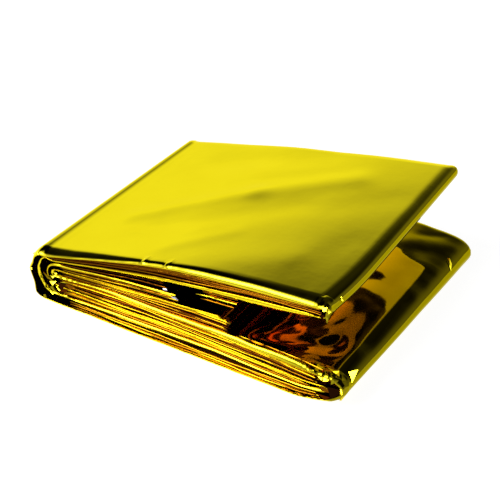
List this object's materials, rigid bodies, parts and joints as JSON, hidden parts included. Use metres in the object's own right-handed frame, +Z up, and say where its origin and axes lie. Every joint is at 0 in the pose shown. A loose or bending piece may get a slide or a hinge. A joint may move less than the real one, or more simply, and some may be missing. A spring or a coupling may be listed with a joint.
{
  "type": "emergency foil blanket",
  "caption": "Gold metallised emergency blanket folded back and forth into a flat rectangular packet, its upper leaf raised like an open book.",
  "frame": {"origin": "middle of the packet's footprint, on the surface it rests on", "axes": "+X along the packet's length towards its open side, +Y across its depth from the front edge to the back edge, +Z up"},
  "size_m": [0.1299, 0.099, 0.0402],
  "materials": {
    "film": "mirror-bright gold metallised polyester film, softly creased"
  },
  "bodies": {
    "root": {"foil_blanket": "film"}
  },
  "joints": []
}
